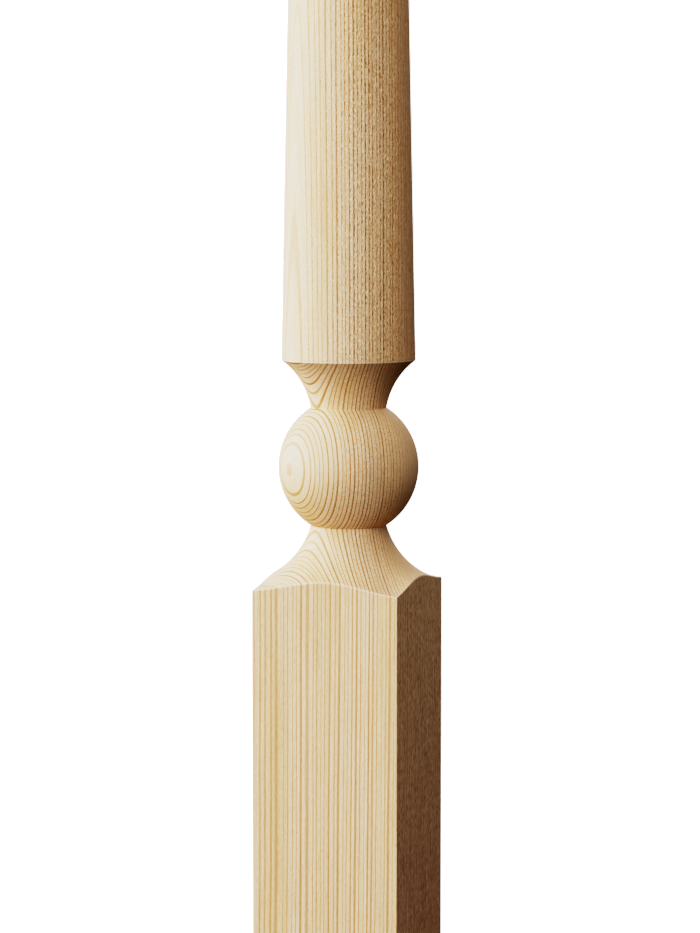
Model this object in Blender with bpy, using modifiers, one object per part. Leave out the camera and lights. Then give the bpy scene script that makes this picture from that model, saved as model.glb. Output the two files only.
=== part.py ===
"""A newel post turned from one square softwood blank.

The blocks at the foot and the head keep the blank's four faces. Between them the post is turned:
a shoulder cove above the base block, a ball, a throat cove that flares to the sharp foot of the
shaft, the tapered shaft with its rounded head, and a second shoulder cove under the head block,
whose top is a shallow dome. The origin is the centre of the foot, and the post stands along +Z.
"""

import math

import bmesh
import bpy

# Sizes in metres
BLANK_WIDTH = 0.089
ARRIS_RADIUS = 0.001  # the easing of the blank's four long edges
BASE_BLOCK_HEIGHT = 0.380  # from the foot to where the shoulder cove runs level
HEAD_BLOCK_HEIGHT = 0.180  # from its shoulder cove's level to the rim of the dome
DOME_RISE = 0.016
SWING_MARGIN = 0.0063  # the coves and the dome begin this far outside the blank's corners
SHOULDER_HEIGHT = 0.0357  # from a cove's level to the neck
NECK_RADIUS = 0.0224
BALL_RADIUS = 0.0415
THROAT_HEIGHT = 0.0283
THROAT_COVE_RADIUS = 0.0446
SHAFT_FOOT_RADIUS = 0.0396
SHAFT_HEAD_RADIUS = 0.0318
SHAFT_LENGTH = 0.395
CUT_MARGIN = 0.010  # how far the blank and the turned shape reach past each other at the ends

# Fineness of the surfaces
TURN_STEPS = 64
FACET_ANGLE = math.radians(8)
ARRIS_SEGMENTS = 3
MERGE_DISTANCE = 0.00001
SHARP_ANGLE = math.radians(25)

PINE_COLOUR = (0.73, 0.62, 0.44, 1.0)
PINE_ROUGHNESS = 0.55


def clear_objects():
    for thing in list(bpy.data.objects):
        bpy.data.objects.remove(thing, do_unlink=True)


def new_collection(name):
    group = bpy.data.collections.new(name)
    bpy.context.scene.collection.children.link(group)
    return group


def sanded_pine():
    material = bpy.data.materials.new("sanded_pine")
    material.use_nodes = True
    shader = material.node_tree.nodes["Principled BSDF"]
    shader.inputs["Base Color"].default_value = PINE_COLOUR
    shader.inputs["Roughness"].default_value = PINE_ROUGHNESS
    shader.inputs["Metallic"].default_value = 0.0
    return material


def arc(centre, start, end):
    """Points round centre from start to end, both included, the short way round."""
    first = math.atan2(start[1] - centre[1], start[0] - centre[0])
    last = math.atan2(end[1] - centre[1], end[0] - centre[0])
    turn = math.remainder(last - first, math.tau)
    radius = math.dist(centre, start)
    count = max(2, math.ceil(abs(turn) / FACET_ANGLE))
    angles = [first + turn * i / count for i in range(count + 1)]
    return [(centre[0] + radius * math.cos(a), centre[1] + radius * math.sin(a)) for a in angles]


def level_arc_radius(run, rise):
    """The radius of an arc that starts level and rises by rise over run."""
    return (run**2 + rise**2) / (2 * rise)


def shoulder_cove(level, upward, swing_radius):
    """From the level run outside the corners, in and along the axis to the neck."""
    radius = level_arc_radius(swing_radius - NECK_RADIUS, SHOULDER_HEIGHT)
    centre = (swing_radius, level + upward * radius)
    return arc(centre, (swing_radius, level), (NECK_RADIUS, level + upward * SHOULDER_HEIGHT))


def ball(middle, half_height):
    return arc((0, middle), (NECK_RADIUS, middle - half_height), (NECK_RADIUS, middle + half_height))


def throat_cove(bottom):
    """A hollow from the neck out to the shaft's foot. Its centre lies outside the chord between them."""
    start = (NECK_RADIUS, bottom)
    end = (SHAFT_FOOT_RADIUS, bottom + THROAT_HEIGHT)
    chord = math.dist(start, end)
    depth = math.sqrt(THROAT_COVE_RADIUS**2 - (chord / 2) ** 2)
    out = ((end[1] - start[1]) / chord, (start[0] - end[0]) / chord)
    centre = (
        (start[0] + end[0]) / 2 + out[0] * depth,
        (start[1] + end[1]) / 2 + out[1] * depth,
    )
    return arc(centre, start, end)


def shaft_head(bottom):
    """A quarter round from the top of the taper in to the neck."""
    radius = SHAFT_HEAD_RADIUS - NECK_RADIUS
    centre = (NECK_RADIUS, bottom)
    return arc(centre, (SHAFT_HEAD_RADIUS, bottom), (NECK_RADIUS, bottom + radius))


def dome(rim, swing_radius):
    radius = level_arc_radius(swing_radius, DOME_RISE)
    return arc((0, rim + DOME_RISE - radius), (swing_radius, rim), (0, rim + DOME_RISE))


def turned_profile():
    """(radius, height) points of the turned shape, from below the foot up to the top of the dome."""
    swing_radius = BLANK_WIDTH / math.sqrt(2) + SWING_MARGIN
    lower_neck = BASE_BLOCK_HEIGHT + SHOULDER_HEIGHT
    ball_half_height = math.sqrt(BALL_RADIUS**2 - NECK_RADIUS**2)
    upper_neck = lower_neck + 2 * ball_half_height
    shaft_foot = upper_neck + THROAT_HEIGHT
    shaft_top = shaft_foot + SHAFT_LENGTH
    head_neck = shaft_top + SHAFT_HEAD_RADIUS - NECK_RADIUS
    head_level = head_neck + SHOULDER_HEIGHT
    stretches = [
        [(0, -CUT_MARGIN), (swing_radius, -CUT_MARGIN)],
        shoulder_cove(BASE_BLOCK_HEIGHT, 1, swing_radius),
        ball(lower_neck + ball_half_height, ball_half_height),
        throat_cove(upper_neck),
        shaft_head(shaft_top),
        shoulder_cove(head_level, -1, swing_radius)[::-1],
        dome(head_level + HEAD_BLOCK_HEIGHT, swing_radius),
    ]
    points = []
    for stretch in stretches:
        joined = points and math.dist(points[-1], stretch[0]) < MERGE_DISTANCE
        points += stretch[1:] if joined else stretch
    return points


def turned_shape(group):
    """The space that the lathe leaves, wider than the blank along both blocks."""
    profile = turned_profile()[::-1]
    mesh = bpy.data.meshes.new("turned_shape")
    edges = [(i, i + 1) for i in range(len(profile) - 1)]
    mesh.from_pydata([(radius, 0, height) for radius, height in profile], edges, [])
    shape = bpy.data.objects.new("turned_shape", mesh)
    group.objects.link(shape)
    # Half a step round, so that no line of facets runs along the blank's corners
    shape.rotation_euler.z = math.pi / TURN_STEPS
    shape.hide_render = True
    shape.display_type = "WIRE"
    screw = shape.modifiers.new("Turning", "SCREW")
    screw.axis = "Z"
    screw.steps = TURN_STEPS
    screw.render_steps = TURN_STEPS
    screw.use_merge_vertices = True
    screw.merge_threshold = MERGE_DISTANCE
    return shape


def square_blank(name, group, height):
    """The blank with its foot on the ground and its long edges marked for easing."""
    bm = bmesh.new()
    bmesh.ops.create_cube(bm, size=1)
    bmesh.ops.translate(bm, verts=bm.verts, vec=(0, 0, 0.5))
    bmesh.ops.scale(bm, verts=bm.verts, vec=(BLANK_WIDTH, BLANK_WIDTH, height))
    weight = bm.edges.layers.float.new("bevel_weight_edge")
    for edge in bm.edges:
        bottom, top = sorted(vert.co.z for vert in edge.verts)
        edge[weight] = 1.0 if top > bottom else 0.0
    mesh = bpy.data.meshes.new(name)
    bm.to_mesh(mesh)
    bm.free()
    blank = bpy.data.objects.new(name, mesh)
    group.objects.link(blank)
    easing = blank.modifiers.new("Eased arrises", "BEVEL")
    easing.limit_method = "WEIGHT"
    easing.width = ARRIS_RADIUS
    easing.segments = ARRIS_SEGMENTS
    return blank


def turn_post():
    posts = new_collection("newel_post")
    guides = new_collection("lathe_guides")
    shape = turned_shape(guides)
    top = max(height for _, height in turned_profile())
    post = square_blank("newel_post", posts, top + CUT_MARGIN)
    turning = post.modifiers.new("Turning", "BOOLEAN")
    turning.operation = "INTERSECT"
    turning.object = shape
    turning.solver = "EXACT"
    finished = bpy.data.meshes.new_from_object(
        post.evaluated_get(bpy.context.evaluated_depsgraph_get())
    )
    post.modifiers.clear()
    post.data = finished
    finished.name = "newel_post"
    finished.shade_smooth()
    finished.set_sharp_from_angle(angle=SHARP_ANGLE)
    finished.materials.clear()
    finished.materials.append(sanded_pine())


clear_objects()
turn_post()
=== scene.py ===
import math

import bpy
import numpy as np
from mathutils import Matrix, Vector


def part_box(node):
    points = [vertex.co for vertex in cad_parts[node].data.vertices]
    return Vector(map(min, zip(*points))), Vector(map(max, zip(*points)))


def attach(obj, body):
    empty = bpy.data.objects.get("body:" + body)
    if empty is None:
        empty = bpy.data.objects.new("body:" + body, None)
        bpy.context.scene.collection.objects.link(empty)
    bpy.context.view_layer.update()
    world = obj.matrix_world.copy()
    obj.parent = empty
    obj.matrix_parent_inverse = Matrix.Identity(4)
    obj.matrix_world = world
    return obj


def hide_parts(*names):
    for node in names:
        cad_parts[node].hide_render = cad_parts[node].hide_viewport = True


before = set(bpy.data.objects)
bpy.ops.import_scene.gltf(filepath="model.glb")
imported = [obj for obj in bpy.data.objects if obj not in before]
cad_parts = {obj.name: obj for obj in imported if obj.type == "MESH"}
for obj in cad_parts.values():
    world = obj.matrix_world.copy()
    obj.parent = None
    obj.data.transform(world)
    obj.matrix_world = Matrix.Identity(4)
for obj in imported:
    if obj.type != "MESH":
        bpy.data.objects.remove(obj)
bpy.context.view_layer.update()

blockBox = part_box("newel_post")
millimetre = 0.001


# Helpers

def linearColour(hexCode):
    # sRGB hex to linear: c / 12.92 below 0.04045, ((c + 0.055) / 1.055) ^ 2.4 above it
    values = [int(hexCode[i:i + 2], 16) / 255 for i in (1, 3, 5)]
    return [c / 12.92 if c <= 0.04045 else ((c + 0.055) / 1.055) ** 2.4 for c in values] + [1.0]


def addNode(tree, kind, *values, named=None, **settings):
    # values fill the sockets in order, and named fills them by name or number. Another node's output is
    # linked to its socket, and any other value is set on it.
    node = tree.nodes.new(kind)
    for name, value in settings.items():
        setattr(node, name, value)
    for key, value in [*enumerate(values), *(named or {}).items()]:
        if isinstance(value, bpy.types.NodeSocket):
            tree.links.new(value, node.inputs[key])
        else:
            node.inputs[key].default_value = value
    return node


def newMaterial(name):
    # An empty material and its node tree
    material = bpy.data.materials.new(name)
    material.use_nodes = True
    material.node_tree.nodes.clear()
    return material, material.node_tree


# The post's surface, in metres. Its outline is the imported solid's, with the arrises eased.

post = {
    "width": blockBox[1][0] - blockBox[0][0],
    "height": blockBox[1][2],
    "cornerEase": 0.5 * millimetre,  # radius of the four long arrises
    "arrisEase": 0.6 * millimetre,  # sanded arris between a block's face and its cove
    "footEase": 0.6 * millimetre,
    "lipEase": 0.2 * millimetre,  # the shaft's foot stays nearly sharp
    "lipRim": 0.7 * millimetre,  # with a painted highlight just above it
    "baseBlock": 380 * millimetre,
    "swingMargin": 6.3 * millimetre,
    "shoulder": 35.7 * millimetre,
    "neck": 22.4 * millimetre,
    "ball": 41.5 * millimetre,
    "throat": 28.3 * millimetre,
    "throatCove": 44.6 * millimetre,
    "shaftFoot": 39.6 * millimetre,
    "shaftHead": 31.8 * millimetre,
    "shaft": 395 * millimetre,
    "domeRise": 16 * millimetre,
    "support": 2.5 * millimetre,  # from each eased arris to the next row of points on its face
    "footHole": 0.08,  # share of the foot and the dome that one fan of triangles closes
    "domeHole": 0.04,
    "sharpAngle": 35.0,  # degrees, past which an edge such as a neck stays crisp
    "columns": 44,  # columns of the grid across each flat face
    "cornerColumns": 5,
    "cornerMargin": 1.6,  # corner radii from a face's edge to the first of its even columns
    "rows": {"foot": 6, "ease": 6, "smallEase": 4, "baseBlock": 14, "support": 2, "cove": 30, "ball": 60,
             "throat": 26, "shaft": 40, "shaftHead": 12, "headBlock": 8, "dome": 18},
}


def blankRadius(angles, half, ease):
    # Distance from the axis to a square of half width half, at each angle: half / cos(a) on the flat,
    # and where the ray leaves the circle of radius ease round the corner's own centre past the flat.
    a = np.abs((angles + math.pi / 4) % (math.pi / 2) - math.pi / 4)
    inner = half - ease
    along = inner * (np.cos(a) + np.sin(a))
    corner = along + np.sqrt(np.maximum(along ** 2 - (2 * inner ** 2 - ease ** 2), 0))
    return np.where(half * np.tan(a) <= inner, half / np.cos(a), corner)


def columnAngles(half, ease, margin, acrossFace, roundCorner):
    # Even angles across each flat, one close to either end of it, and the arc of the corner stepped evenly
    flatEnd = math.atan((half - ease) / half)
    nearEnd = math.atan((half - margin * ease) / half)
    flat = np.concatenate([[-flatEnd], np.linspace(-nearEnd, nearEnd, acrossFace), [flatEnd]])
    turn = np.linspace(0, math.pi / 2, roundCorner + 2)[1:-1]
    corner = np.arctan2(half - ease + ease * np.sin(turn), half - ease + ease * np.cos(turn))
    quarter = np.concatenate([flat, corner])
    return np.concatenate([quarter + i * math.pi / 2 for i in range(4)])


def easedCorner(before, corner, after, steps):
    # A parabola from before to after that leaves and arrives along the two sides of the corner
    t = np.linspace(0, 1, steps + 1)[:, None]
    return [(1 - t) ** 2 * b + 2 * t * (1 - t) * c + t ** 2 * a for b, c, a in zip(before, corner, after)]


def straight(start, end, steps):
    # Points evenly along a line between two (radius, height) pairs
    t = np.linspace(0, 1, steps + 1)[:, None]
    return [s + t * (e - s) for s, e in zip(start, end)]


def levelArc(run, rise):
    # Radius of an arc that starts level and rises by rise over run
    return (run ** 2 + rise ** 2) / (2 * rise)


finishNames = ["turned", "planed", "torn", "paintedGlint"]


def postMeridians(size, angles):
    # For each column, the (radius, height) of a path from the middle of the foot, up the outside, to the
    # top of the dome. Blocks follow the blank's radius b, and the turned stretches are arcs of circles:
    # a cove at angle a is (swing - R cos a, level + R - R sin a), the ball is (B cos a, middle + B sin a).
    b = blankRadius(angles, size["width"] / 2, size["cornerEase"])
    same = np.ones_like(b)
    swing = size["width"] / math.sqrt(2) + size["swingMargin"]
    neck, ease, support, rows = size["neck"], size["arrisEase"], size["support"], size["rows"]
    coveRadius = levelArc(swing - neck, size["shoulder"])
    coveStart = np.arccos((swing - b) / coveRadius)
    coveEnd = math.acos((swing - neck) / coveRadius)
    ballHalf = math.sqrt(size["ball"] ** 2 - neck ** 2)
    lowerNeck = size["baseBlock"] + size["shoulder"]
    upperNeck = lowerNeck + 2 * ballHalf
    shaftFoot = upperNeck + size["throat"]
    shaftTop = shaftFoot + size["shaft"]
    headNeck = shaftTop + size["shaftHead"] - neck
    headLevel = headNeck + size["shoulder"]
    domeRadius = levelArc(swing, size["domeRise"])
    domeMiddle = size["height"] - domeRadius

    def cove(a, level, up):
        return swing - coveRadius * np.cos(a), level + up * (coveRadius - coveRadius * np.sin(a))

    def dome(a):
        return domeRadius * np.sin(a), domeMiddle + domeRadius * np.cos(a)

    def steps(start, end, count):
        return np.linspace(0, 1, count + 1)[:, None] * (end - start) + start

    footEase = size["footEase"]
    baseCut = cove(coveStart, size["baseBlock"], 1)
    headCut = cove(coveStart, headLevel, -1)
    coveFrom = coveStart - ease / coveRadius
    domeStart = np.arcsin(b / domeRadius)
    domeCut = dome(domeStart)
    domeFrom = domeStart - ease / domeRadius

    # The throat's arc: its centre lies outside the chord from the neck to the lip
    start, end = (neck, upperNeck), (size["shaftFoot"], shaftFoot)
    chord = math.dist(start, end)
    depth = math.sqrt(size["throatCove"] ** 2 - (chord / 2) ** 2)
    throatX = (start[0] + end[0]) / 2 + (end[1] - start[1]) / chord * depth
    throatZ = (start[1] + end[1]) / 2 - (end[0] - start[0]) / chord * depth
    throatFrom = math.atan2(start[1] - throatZ, start[0] - throatX) % math.tau
    throatTo = math.atan2(end[1] - throatZ, end[0] - throatX) % math.tau
    lip = size["lipEase"]
    throatStop = throatTo + lip / size["throatCove"]
    throatTurn = steps(throatFrom * same, throatStop * same, rows["throat"])
    throat = (throatX + size["throatCove"] * np.cos(throatTurn),
              throatZ + size["throatCove"] * np.sin(throatTurn))
    taper = (size["shaftHead"] - size["shaftFoot"]) / size["shaft"]
    lipCorner = (end[0] * same, end[1] * same)
    lipAbove = ((end[0] + taper * lip) * same, (end[1] + lip) * same)
    rim = size["lipRim"]
    rimAbove = ((end[0] + taper * rim) * same, (end[1] + rim) * same)
    tornAbove = ((end[0] + 2 * taper * rim) * same, (end[1] + 2 * rim) * same)
    shaftEnd = (size["shaftHead"] * same, shaftTop * same)

    ballTurn = math.asin(ballHalf / size["ball"])
    ball = steps(-ballTurn * same, ballTurn * same, rows["ball"])
    quarter = steps(0 * same, math.pi / 2 * same, rows["shaftHead"])
    headRound = size["shaftHead"] - neck
    lowerCove = steps(coveFrom, coveEnd * same, rows["cove"])
    upperCove = steps(coveEnd * same, coveFrom, rows["cove"])
    domeTurn = steps(domeFrom, size["domeHole"] * domeFrom, rows["dome"])

    # Each stretch with its finish: planed, turned, torn by the lathe, or an eased arris with a painted
    # highlight
    floor, footTop, baseTop = 0 * b, footEase * same, baseCut[1] - ease
    headFoot, headTop = headCut[1] + ease, domeCut[1] - ease
    fine = rows["smallEase"]
    stretches = [
        ("planed", straight((size["footHole"] * b, floor), (b - 2 * footEase, floor), rows["foot"])),
        ("planed", straight((b - 2 * footEase, floor), (b - footEase, floor), 1)),
        ("paintedGlint", easedCorner((b - footEase, floor), (b, floor), (b, footTop), fine)),
        ("planed", straight((b, footTop), (b, footTop + support), 1)),
        ("planed", straight((b, footTop + support), (b, baseTop - support), rows["baseBlock"])),
        ("planed", straight((b, baseTop - support), (b, baseTop), rows["support"])),
        ("paintedGlint", easedCorner((b, baseTop), baseCut, cove(coveFrom, size["baseBlock"], 1), rows["ease"])),
        ("turned", cove(lowerCove, size["baseBlock"], 1)),
        ("turned", (size["ball"] * np.cos(ball), lowerNeck + ballHalf + size["ball"] * np.sin(ball))),
        ("turned", throat),
        ("paintedGlint", easedCorner((throat[0][-1], throat[1][-1]), lipCorner, lipAbove, fine)),
        ("paintedGlint", straight(lipAbove, rimAbove, 1)),
        ("torn", straight(rimAbove, tornAbove, 1)),
        ("torn", straight(tornAbove, shaftEnd, rows["shaft"])),
        ("turned", (neck + headRound * np.cos(quarter), shaftTop + headRound * np.sin(quarter))),
        ("turned", cove(upperCove, headLevel, -1)),
        ("paintedGlint", easedCorner(cove(coveFrom, headLevel, -1), headCut, (b, headFoot), rows["ease"])),
        ("planed", straight((b, headFoot), (b, headFoot + support), rows["support"])),
        ("planed", straight((b, headFoot + support), (b, headTop - support), rows["headBlock"])),
        ("planed", straight((b, headTop - support), (b, headTop), rows["support"])),
        ("paintedGlint", easedCorner((b, headTop), domeCut, dome(domeFrom), rows["ease"])),
        ("turned", dome(domeTurn)),
    ]

    # Each stretch after the first leaves out its first row, where the one before it ends
    grid = [(finish, part[0][min(i, 1):], part[1][min(i, 1):]) for i, (finish, part) in enumerate(stretches)]
    radius = np.concatenate([r for _, r, _ in grid])
    height = np.concatenate([h for _, _, h in grid])
    finishes = np.concatenate([np.full(len(r), finishNames.index(finish)) for finish, r, _ in grid])
    return radius, height, finishes


def turnedMesh(name, angles, radius, height, finishes):
    # Point (i, j) is (radius cos angle, radius sin angle, height), with one point on the axis at each end.
    # The colour attribute "finish" holds how far each point is planed, torn, and on an arris with a painted
    # highlight.
    rows, columns = radius.shape
    grid = np.stack([radius * np.cos(angles), radius * np.sin(angles), height], axis=-1).reshape(-1, 3)
    points = np.concatenate([grid, [[0, 0, height[0, 0]], [0, 0, post["height"]]]])
    bottom, top = rows * columns, rows * columns + 1
    j = np.arange(columns)
    k = (j + 1) % columns
    i = np.arange(rows - 1)[:, None] * columns
    quads = np.stack([i + j, i + k, i + columns + k, i + columns + j], axis=-1).reshape(-1, 4)
    last = (rows - 1) * columns
    foot = np.stack([np.full(columns, bottom), k, j], axis=-1)
    cap = np.stack([last + j, last + k, np.full(columns, top)], axis=-1)
    corners = np.concatenate([quads.ravel(), foot.ravel(), cap.ravel()]).astype(np.int32)
    totals = np.concatenate([np.full(len(quads), 4), np.full(2 * columns, 3)]).astype(np.int32)
    mesh = bpy.data.meshes.new(name)
    mesh.vertices.add(len(points))
    mesh.vertices.foreach_set("co", points.astype(np.float32).ravel())
    mesh.loops.add(len(corners))
    mesh.loops.foreach_set("vertex_index", corners)
    mesh.polygons.add(len(totals))
    mesh.polygons.foreach_set("loop_start", (np.cumsum(totals) - totals).astype(np.int32))
    mesh.polygons.foreach_set("loop_total", totals)
    mesh.update(calc_edges=True)
    mesh.validate()
    shares = [finishes == finishNames.index(name) for name in ("planed", "torn", "paintedGlint")]
    shares = np.stack(shares + [finishes >= 0], axis=1)
    shares = np.concatenate([np.repeat(shares, columns, axis=0), shares[:1], shares[-1:]])
    colours = mesh.color_attributes.new("finish", "FLOAT_COLOR", "POINT")
    colours.data.foreach_set("color", shares.astype(np.float32).ravel())
    mesh.shade_smooth()
    mesh.set_sharp_from_angle(angle=math.radians(post["sharpAngle"]))
    return mesh


angles = columnAngles(post["width"] / 2, post["cornerEase"], post["cornerMargin"], post["columns"],
                      post["cornerColumns"])
radius, height, finishes = postMeridians(post, angles)
turnedPost = bpy.data.objects.new("turned_newel_post",
                                  turnedMesh("turned_newel_post", angles, radius, height, finishes))
bpy.context.scene.collection.objects.link(turnedPost)
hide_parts("newel_post")
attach(turnedPost, "root")
print("post:", radius.shape, "grid,", 2 * len(turnedPost.data.polygons), "triangles at most")


# Sanded, unfinished pine: pale earlywood with thin brown latewood lines, dull, and rough where it is torn.
# Each fade goes smoothly from its third value to its fourth while what it reads goes from its first to its
# second. "Facing" is 1 where the surface looks straight towards the pith, and -1 where it looks away.

pine = {
    "early": "#D8BB9C",
    "tone": "#CDAB81",  # what the earlywood drifts towards, year by year
    "shadeSideWood": "#F1CA9B",  # the half away from the pith, which lies in shade: partly wood colour, partly painted light
    "paintedFootShade": "#EABC92",  # the same with painted shade, deeper towards the foot
    "late": "#AF8351",
    "paintedGlint": "#F4E4CC",  # painted highlight along the eased arrises and the rim above the shaft's lip
    "paintedGlintShare": 0.2,
    "ringWidth": 2.25,  # mm, the mean year ring
    "ringDrift": 0.9,  # mm that good and bad years move a ring by
    "ringOffset": -0.5,  # mm
    "yearSpan": 7.0,  # mm of growth over which years turn good or bad
    "pithSide": 231.3,  # degrees in plan from +X to the pith, which is the side of the ball's bull's-eye
    "pithDistance": 140.0,  # mm
    "grainSlope": 0.004,  # sideways mm for each mm of height
    "grains": {  # mm along the pith side, across it and up, then the noise's detail and roughness
        "wander": ([50, 60, 300], 1.0, 0.5),  # the rings' slow bends
        "waver": ([9, 14, 80], 1.0, 0.5),
        "lamella": ([0.7, 9, 70], 1.0, 0.5),  # finer lines that follow the rings
        "fibre": ([0.75, 0.75, 26], 2.0, 0.6),  # drawn coarse enough to show
        "dash": ([0.65, 0.65, 3.25], 2.0, 0.6),  # short nicks of torn or planed fibre
        "speck": ([0.8, 0.8, 1.6], 1.0, 0.5),
        "drift": ([16, 30, 160], 2.0, 0.5),  # slow changes of tone
    },
    "wander": 1.4,  # mm
    "waver": 0.22,  # mm
    "serration": [16, 32, 0.6, 0.2],  # mm that torn lines jump by, by mm towards the pith
    "lateBegins": [0.9, 1.0, 0.75, 0.84],  # share of the year, by facing
    "lateLuck": [0.85, 1.0, 0.22, 0.14],  # how much earlier it begins in some years, by facing
    "latePlaned": [0.25, 0.11, -0.08],  # where planed, how much earlier still, slower and paler
    "lateRise": 0.14,  # share of the year that it takes to darken
    "lateEnds": [0.93, 1.0, 1.0, 0.0],
    "lateYears": [0.0, 1.0, 0.75, 1.0],  # some years are paler
    "lateBeads": 1.6,  # torn lines break into beads
    "lateHeart": [-16, 2, 0.28, 1.0],  # faint in the heartwood, by mm towards the pith
    "lateBehind": [-0.6, -0.35, 0.28, 1.0],  # and on the two faces that look away
    "lateEye": [0.97, 1.0, 1.0, 0.6],  # faint where the surface lies along the rings
    "lateHighlight": [0.5, 0.9, 0.0, -0.3],  # latewood washed out on the torn shaft's lit side: painted highlight, partly its broad near-tangential rings
    "clean": [-28, -6, 0.55, 0.0],  # ball and coves are cut clean away from the pith, by mm towards it
    "shadeSideEdge": [-10, 8, 1.0, 0.0],  # mm towards the pith
    "shadeSideBehind": [-0.6, -0.3, 1.0, 0.0],  # by facing
    "footHeight": [140, 400, 1.0, 0.0],  # mm, where the painted shade deepens towards the foot
    "drift": [0.35, 0.7, 0.05, 0.6],  # share of the tone, by the slow noise
    "toneYears": 0.35,
    "tonePlaned": 0.06,
    "toneTorn": [0.93, 1.0, 0.0, 0.35],  # by facing
    "fibre": 0.2,
    "fibrePlaned": [-0.6, 0.2, 0.35, 0.0],  # more of it on the planed faces that look away
    "lamella": 0.12,
    "cutFar": [-0.5, 0.0, 0.4, 1.0],  # nicks show most where the surface cuts squarely across the rings
    "cutNear": [0.4, 0.9, 1.0, 0.35],
    "dash": [0.2, 0.8, 0.4],  # where turned, then what planing and tearing add
    "dashFacing": [-0.4, 0.6, 1.2, 0.25],
    "dashBehind": [-0.8, -0.62, 0.45, 1.0],  # fainter on the face that looks most away
    "speck": [0.42, -0.12, 0.3],
    "ridge": [0.15, -0.15, 0.12],  # latewood's own shade, with none where planed and the most where torn
    "paintedShadeAway": [-0.5, 0.2, -0.14, 0.07],  # painted shade on the torn shaft where it looks away, and painted light at its sides
    "paintedShadeNear": [0.5, 0.95, 0.0, 0.09],  # and a little painted shade again towards the pith
    "streakWarmth": [0.7, 1.0, 1.35],  # how much a streak darkens the red, green and blue
    "roughness": 0.55,
    "refraction": 1.5,
    "roughnessSpread": [0.04, -0.06],  # earlywood is a little duller, and latewood a little glossier
    "relief": 0.35 * millimetre,
    "raised": {"late": 0.25, "fibre": 0.3, "dash": 0.3, "speck": 0.8},  # shares of the relief
}


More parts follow.
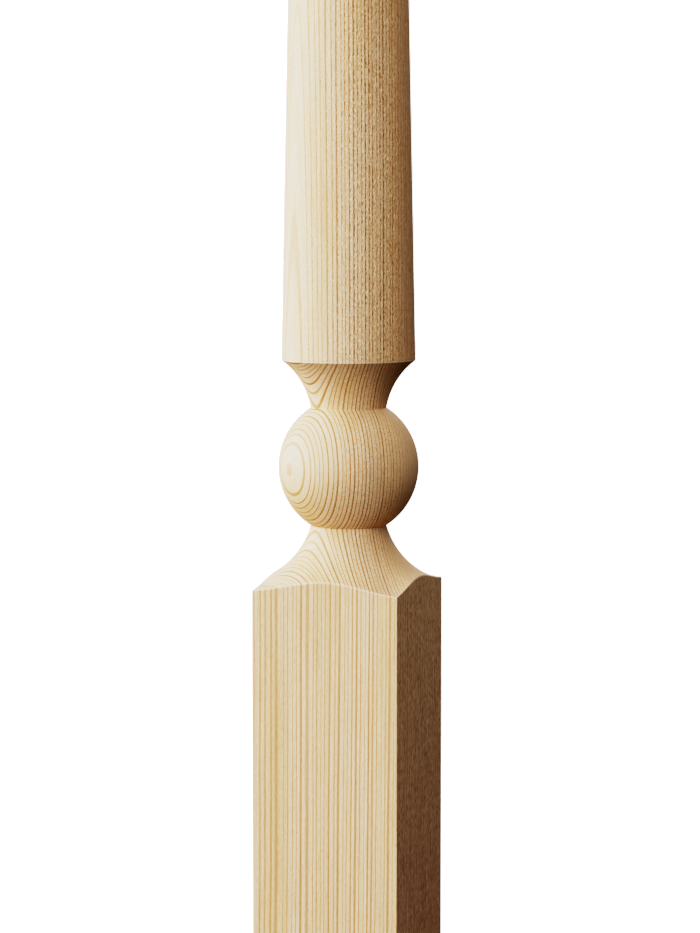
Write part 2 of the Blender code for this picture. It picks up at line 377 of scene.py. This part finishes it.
def sandedPine(s):
    # Wood colour times 1 + warmth x streak. The colour comes from the season in which each point grew, with
    # painted light on the half in shade and a painted highlight on the arrises, and the streak is the sum of
    # the fibres, the cutter's nicks, the ridges of the latewood and painted shade across the torn shaft.
    material, tree = newMaterial("sanded_pine")
    plus, minus, times = {"operation": "ADD"}, {"operation": "SUBTRACT"}, {"operation": "MULTIPLY"}
    timesPlus = {"operation": "MULTIPLY_ADD"}
    fade = {"interpolation_type": "SMOOTHSTEP"}

    def node(kind, *values, output=0, named=None, **looks):
        return addNode(tree, "ShaderNode" + kind, *values, named=named, **looks).outputs[output]

    def swing(pattern, amount):
        # (pattern - 0.5) x 2 x amount, so that a pattern of 0 to 1 swings by the amount to either side
        middle = node("Math", pattern, 0.5, **minus)
        return node("Math", middle, node("Math", amount, 2.0, **times), **times)

    def byFinish(amounts, tornShare):
        # The turned amount, plus the second where planed and the third where torn
        turned, planedMore, tornMore = amounts
        base = node("Math", planed, planedMore, turned, **timesPlus)
        return node("Math", tornShare, tornMore, base, **timesPlus)

    def product(factors):
        # All the factors multiplied, one after another
        total = factors[0]
        for factor in factors[1:]:
            total = node("Math", total, factor, **times)
        return total

    coords = addNode(tree, "ShaderNodeTexCoord").outputs
    side = math.radians(s["pithSide"])
    placed = node("Mapping", named={"Vector": coords["Object"], "Rotation": [0, 0, -side],
                                    "Scale": [1 / millimetre] * 3})
    toPith, across, up = addNode(tree, "ShaderNodeSeparateXYZ", placed).outputs
    facing = node("VectorMath", coords["Normal"], [math.cos(side), math.sin(side), 0],
                  operation="DOT_PRODUCT", output="Value")
    finish = node("Attribute", attribute_name="finish", output="Color")
    planed, torn, paintedGlint = addNode(tree, "ShaderNodeSeparateColor", finish).outputs

    grain = {}
    for name, (size, detail, roughness) in s["grains"].items():
        stretched = node("VectorMath", placed, [1 / length for length in size], **times)
        grain[name] = node("TexNoise", named={"Vector": stretched, "Scale": 1.0, "Detail": detail,
                                              "Roughness": roughness}, noise_dimensions="3D")

    # Distance from the leaning pith line, wandering slowly, is the tree's growth in mm
    leaning = node("Math", up, s["grainSlope"], toPith, **timesPlus)
    fromPith = node("Math", leaning, s["pithDistance"], **minus)
    level = node("CombineXYZ", fromPith, across, 0.0)
    growth = node("VectorMath", level, operation="LENGTH", output="Value")
    serration = product([torn, node("MapRange", toPith, *s["serration"], **fade)])
    for name, amount in (("wander", s["wander"]), ("waver", s["waver"]), ("speck", serration)):
        growth = node("Math", growth, swing(grain[name], amount), **plus)

    # Good and bad years: the rings are crowded and spread by a noise of the growth alone
    span = node("Math", growth, s["yearSpan"], operation="DIVIDE")
    years = node("TexNoise", named={"W": span, "Scale": 1.0, "Detail": 1.0}, noise_dimensions="1D")
    shifted = node("Math", growth, s["ringOffset"], **plus)
    drifted = node("Math", shifted, swing(years, s["ringDrift"]), **plus)
    rings = node("Math", drifted, s["ringWidth"], operation="DIVIDE")
    season = node("Math", rings, operation="FRACT")
    ring = node("Math", rings, operation="FLOOR")
    luck = node("TexWhiteNoise", named={"W": ring}, noise_dimensions="1D", output="Color")
    lateLuck, darkness, yearTone = addNode(tree, "ShaderNodeSeparateColor", luck).outputs

    # Latewood darkens late in each year's season, and stops with the year
    planedEarlier, planedSofter, planedPaler = s["latePlaned"]
    begins = node("MapRange", facing, *s["lateBegins"], **fade)
    earlier = node("MapRange", facing, *s["lateLuck"], **fade)
    earlier = node("Math", planed, planedEarlier, earlier, **timesPlus)
    begins = node("Math", begins, product([lateLuck, earlier]), **minus)
    rise = node("Math", planed, planedSofter, s["lateRise"], **timesPlus)
    full = node("Math", begins, rise, **plus)
    beads = swing(grain["speck"], node("Math", serration, s["lateBeads"], **times))
    faintHeart = node("MapRange", toPith, *s["lateHeart"], **fade)
    faintBehind = node("MapRange", facing, *s["lateBehind"], **fade)
    # Painted highlight: the latewood lines wash out on the torn shaft's lit side
    highlightWashout = node("MapRange", facing, *s["lateHighlight"], **fade)
    turned = node("Math", 1.0, node("Math", planed, torn, **plus), **minus)
    clean = product([turned, node("MapRange", toPith, *s["clean"], **fade)])
    marked = node("Math", 1.0, clean, **minus)
    late = product([
        node("MapRange", season, begins, full, 0.0, 1.0, **fade),
        node("MapRange", season, *s["lateEnds"], **fade),
        node("MapRange", darkness, *s["lateYears"], **fade),
        node("Math", beads, 1.0, **plus),
        node("Math", faintHeart, faintBehind, operation="MINIMUM"),
        node("Math", planed, planedPaler, 1.0, **timesPlus),
        node("MapRange", facing, *s["lateEye"], **fade),
        node("Math", torn, highlightWashout, 1.0, **timesPlus),
        marked,
    ])

    # Earlywood drifts in tone. Away from the pith and on the two faces that look away, all in shade, it
    # gives way to a redder, brighter colour, partly the wood's own and partly painted light, with painted
    # shade at the foot
    tone = node("MapRange", grain["drift"], *s["drift"], **fade)
    tone = node("Math", yearTone, s["toneYears"], tone, **timesPlus)
    tone = node("Math", planed, s["tonePlaned"], tone, **timesPlus)
    tone = node("Math", torn, node("MapRange", facing, *s["toneTorn"], **fade), tone, **timesPlus)
    low = node("MapRange", up, *s["footHeight"], **fade)
    # Painted light: the half in shade gets a redder, brighter colour than the earlywood, partly the wood's
    # own
    shadeSideEdge = node("MapRange", toPith, *s["shadeSideEdge"], **fade)
    shadeSideBehind = node("MapRange", facing, *s["shadeSideBehind"], **fade)
    shadeSideWood = node("Math", shadeSideEdge, shadeSideBehind, operation="MAXIMUM")
    shades = ("early", "tone", "shadeSideWood", "paintedFootShade", "late", "paintedGlint")
    colour = {shade: linearColour(s[shade]) for shade in shades}
    mix = {"data_type": "RGBA", "output": 2}
    early = node("Mix", named={0: tone, 6: colour["early"], 7: colour["tone"]}, **mix)
    # Painted shade: the colour on the shaded half darkens towards the foot
    shadeSideColour = node("Mix", named={0: low, 6: colour["shadeSideWood"], 7: colour["paintedFootShade"]}, **mix)
    early = node("Mix", named={0: shadeSideWood, 6: early, 7: shadeSideColour}, **mix)
    wood = node("Mix", named={0: late, 6: early, 7: colour["late"]}, **mix)

    # Fibres, nicks, specks and ridges, each stronger or weaker by the finish and the way it faces, and
    # painted shade and light across the torn shaft
    fibrePlaned = node("MapRange", facing, *s["fibrePlaned"], **fade)
    fibres = node("Math", planed, fibrePlaned, s["fibre"], **timesPlus)
    cutFar = node("MapRange", facing, *s["cutFar"], **fade)
    cut = product([cutFar, node("MapRange", facing, *s["cutNear"], **fade)])
    dashes = product([
        node("MapRange", facing, *s["dashFacing"], **fade),
        byFinish(s["dash"], product([torn, cut])),
        node("MapRange", facing, *s["dashBehind"], **fade),
    ])
    specks = product([cut, byFinish(s["speck"], torn)])
    ridges = product([late, byFinish(s["ridge"], torn)])
    # Painted shade and light across the torn shaft: darker on the side that looks away, paler at its sides
    paintedShadeAway = node("MapRange", facing, *s["paintedShadeAway"], **fade)
    paintedShadeNear = node("MapRange", facing, *s["paintedShadeNear"], **fade)
    paintedShading = product([torn, node("Math", paintedShadeAway, paintedShadeNear, **minus)])
    streak = node("Math", paintedShading, ridges, **minus)
    for name, amount in (("fibre", fibres), ("lamella", s["lamella"]), ("dash", dashes), ("speck", specks)):
        streak = node("Math", streak, swing(grain[name], amount), **plus)
    warm = node("VectorMath", s["streakWarmth"], product([streak, marked]), [1, 1, 1], **timesPlus)
    grained = node("VectorMath", wood, warm, **times)
    # Painted highlight: the eased arrises and the rim above the lip are mixed towards a pale colour
    pale = node("Math", paintedGlint, s["paintedGlintShare"], **times)
    grained = node("Mix", named={0: pale, 6: grained, 7: colour["paintedGlint"]}, **mix)

    # Latewood, fibres and nicks stand in low relief, and specks only where torn
    raised = node("Math", late, s["raised"]["late"], **times)
    for name, share in (("fibre", 1.0), ("dash", 1.0), ("speck", torn)):
        height = node("Math", grain[name], s["raised"][name], **times)
        raised = node("Math", height, share, raised, **timesPlus)
    bump = node("Bump", named={"Height": raised, "Strength": 1.0, "Distance": s["relief"]})
    duller, glossier = [s["roughness"] + spread for spread in s["roughnessSpread"]]
    rough = node("MapRange", late, 0.0, 1.0, duller, glossier)
    shader = node("BsdfPrincipled", named={"Base Color": grained, "Roughness": rough, "Normal": bump,
                                           "IOR": s["refraction"]})
    addNode(tree, "ShaderNodeOutputMaterial", shader)
    return material


turnedPost.data.materials.append(sandedPine(pine))
print("pine: year rings", pine["ringWidth"], "mm")


# Studio: a pale floor and a white backdrop, broad soft windows at the left and the front, and weaker lamps
# at the right and behind. A lamp has metres, watts, a turn in degrees from -Y towards +X and a rise.

studio = {
    "axisColumn": 348.7,  # px in the 700 x 933 picture, as are the next four
    "horizonRow": 214.3,
    "focal": 2550.0,
    "imageWidth": 700.0,
    "imageHeight": 933.0,
    "cameraTurn": 18.75,  # degrees from -Y towards +X
    "cameraDistance": 1.509,
    "cameraHeight": 0.600,
    "cameraShift": -0.11,  # share of the picture's longer side
    "leftWindow": {"turn": -92.0, "rise": 6.0, "distance": 2.5, "width": 1.6, "height": 1.3, "power": 38.0},
    "frontWindow": {"turn": -25.0, "rise": 2.0, "distance": 2.5, "width": 1.6, "height": 1.0, "power": 31.6},
    "skylight": {"turn": -68.0, "rise": 42.0, "distance": 2.5, "width": 2.0, "height": 1.2, "power": 22.3},
    "fill": {"turn": 22.0, "rise": 40.0, "distance": 2.5, "width": 2.0, "height": 1.2, "power": 10.3},
    "bounce": {"turn": 105.0, "rise": 65.3, "distance": 1.078, "width": 0.3, "height": 0.4, "power": 0.095,
               "aim": 0.35, "spread": 80.0},  # narrow, on the lower part of the faces in shade
    "back": {"turn": 199.0, "rise": 30.0, "distance": 3.0, "width": 2.0, "height": 1.6, "power": 20.0},
    "lampColour": "#FFFFFF",
    "aim": 0.55,  # height that the lamps point at, unless they have their own
    "openSpread": 180.0,  # degrees of beam, unless a lamp has its own
    "ambient": "#ECEEFF",  # slightly cool
    "ambientStrength": 0.162,
    "backdrop": 1.05,  # a little past white, so that it comes out white
    "floorReach": 30.0,
    "floorSeen": "#F4F4F4",
    "floorBounce": "#18120E",  # what the floor gives back to the post, dim and warm
    "floorSun": 3.8,
    "floorSunWidth": 50.0,  # degrees, for one soft contact shadow
    "sensor": 36.0,  # mm
    "filmMiddle": 0.22,  # exposure that the film records at half of its light tones
    "filmContrast": 2.085,
    "filmLight": 0.885,  # where its light tones level off below white
    "filmPoints": 14,
    "filmEnd": 0.95,  # square root of the last point's exposure
}


def addSoftbox(name, s, subject):
    # A rectangular lamp that points at its aim on the post's axis. It lights the subject alone, and leaves
    # the floor to its own sun.
    lamp = s[name]
    turn, rise = math.radians(lamp["turn"]), math.radians(lamp["rise"])
    light = bpy.data.lights.new(name, "AREA")
    light.shape = "RECTANGLE"
    light.size, light.size_y = lamp["width"], lamp["height"]
    light.energy = lamp["power"]
    light.spread = math.radians(lamp.get("spread", s["openSpread"]))
    light.color = linearColour(s["lampColour"])[:3]
    box = bpy.data.objects.new(name, light)
    reach = lamp["distance"] * math.cos(rise)
    height = lamp.get("aim", s["aim"]) + lamp["distance"] * math.sin(rise)
    box.location = (reach * math.sin(turn), -reach * math.cos(turn), height)
    box.rotation_euler = (math.pi / 2 - rise, 0, turn)
    box.visible_camera = False
    bpy.context.scene.collection.objects.link(box)
    box.light_linking.receiver_collection = subject


def addCamera(s):
    # The picture's frame is shifted down by a share of its longer side, and the camera looks down by the
    # rest of the way to the horizon's row: pitch = atan(rest / focal length).
    data = bpy.data.cameras.new("camera")
    camera = bpy.data.objects.new("camera", data)
    bpy.context.scene.collection.objects.link(camera)
    bpy.context.scene.camera = camera
    data.sensor_width = s["sensor"]
    data.lens = s["focal"] / s["imageHeight"] * data.sensor_width
    data.shift_x = (s["imageWidth"] / 2 - s["axisColumn"]) / s["imageHeight"]
    data.shift_y = s["cameraShift"]
    drop = s["imageHeight"] * (0.5 + s["cameraShift"]) - s["horizonRow"]
    pitch = math.atan(drop / s["focal"])
    turn = math.radians(s["cameraTurn"])
    camera.location = (s["cameraDistance"] * math.sin(turn), -s["cameraDistance"] * math.cos(turn),
                       s["cameraHeight"])
    camera.rotation_euler = (math.pi / 2 - pitch, 0, turn)


def addWorld(s):
    # White to the camera, and dim, slightly cool light to everything else
    world = bpy.data.worlds.new("studio")
    bpy.context.scene.world = world
    world.use_nodes = True
    tree = world.node_tree
    tree.nodes.clear()
    dim = addNode(tree, "ShaderNodeBackground", linearColour(s["ambient"]), s["ambientStrength"])
    white = addNode(tree, "ShaderNodeBackground", [1, 1, 1, 1], s["backdrop"])
    seen = addNode(tree, "ShaderNodeLightPath").outputs["Is Camera Ray"]
    mixed = addNode(tree, "ShaderNodeMixShader", seen, dim.outputs[0], white.outputs[0])
    addNode(tree, "ShaderNodeOutputWorld", mixed.outputs[0])


def addFloor(s):
    # A level sheet, lit white by a sun of its own. To the camera it is pale, and to all else dark, so that
    # it sends little light back up to the post.
    reach = s["floorReach"]
    mesh = bpy.data.meshes.new("floor")
    mesh.from_pydata([(-reach, -reach, 0), (reach, -reach, 0), (reach, reach, 0), (-reach, reach, 0)], [],
                     [(0, 1, 2, 3)])
    floor = bpy.data.objects.new("floor", mesh)
    material, tree = newMaterial("matt_white_paper")
    dark = addNode(tree, "ShaderNodeBsdfDiffuse", linearColour(s["floorBounce"]))
    pale = addNode(tree, "ShaderNodeBsdfDiffuse", linearColour(s["floorSeen"]))
    seen = addNode(tree, "ShaderNodeLightPath").outputs["Is Camera Ray"]
    mixed = addNode(tree, "ShaderNodeMixShader", seen, dark.outputs[0], pale.outputs[0])
    addNode(tree, "ShaderNodeOutputMaterial", mixed.outputs[0])
    mesh.materials.append(material)
    lit = bpy.data.collections.new("floor_only")
    bpy.context.scene.collection.children.link(lit)
    lit.objects.link(floor)
    sun = bpy.data.lights.new("floor_sun", "SUN")
    sun.energy = s["floorSun"]
    sun.angle = math.radians(s["floorSunWidth"])
    lamp = bpy.data.objects.new("floor_sun", sun)
    lamp.location = (0, 0, 3)
    bpy.context.scene.collection.objects.link(lamp)
    lamp.light_linking.receiver_collection = lit


def setFilmCurve(s):
    # Exposure x comes out as light x^c / (x^c + middle^c), which deepens shadows and rolls highlights off
    # before white, at points that crowd towards the dark end. The curve's own ends keep 0 and 1 in place.
    view = bpy.context.scene.view_settings
    view.view_transform = "Standard"
    view.use_curve_mapping = True
    for x in np.linspace(0, s["filmEnd"], s["filmPoints"] + 1)[1:] ** 2:
        power = x ** s["filmContrast"]
        y = s["filmLight"] * power / (power + s["filmMiddle"] ** s["filmContrast"])
        view.curve_mapping.curves[3].points.new(x, y).handle_type = "AUTO_CLAMPED"
    view.curve_mapping.update()


addCamera(studio)
subject = bpy.data.collections.new("lit_post")
bpy.context.scene.collection.children.link(subject)
subject.objects.link(turnedPost)
for name in ("leftWindow", "frontWindow", "skylight", "fill", "bounce", "back"):
    addSoftbox(name, studio, subject)
addWorld(studio)
addFloor(studio)
setFilmCurve(studio)
print("studio: camera", studio["cameraTurn"], "degrees to the right of the front")
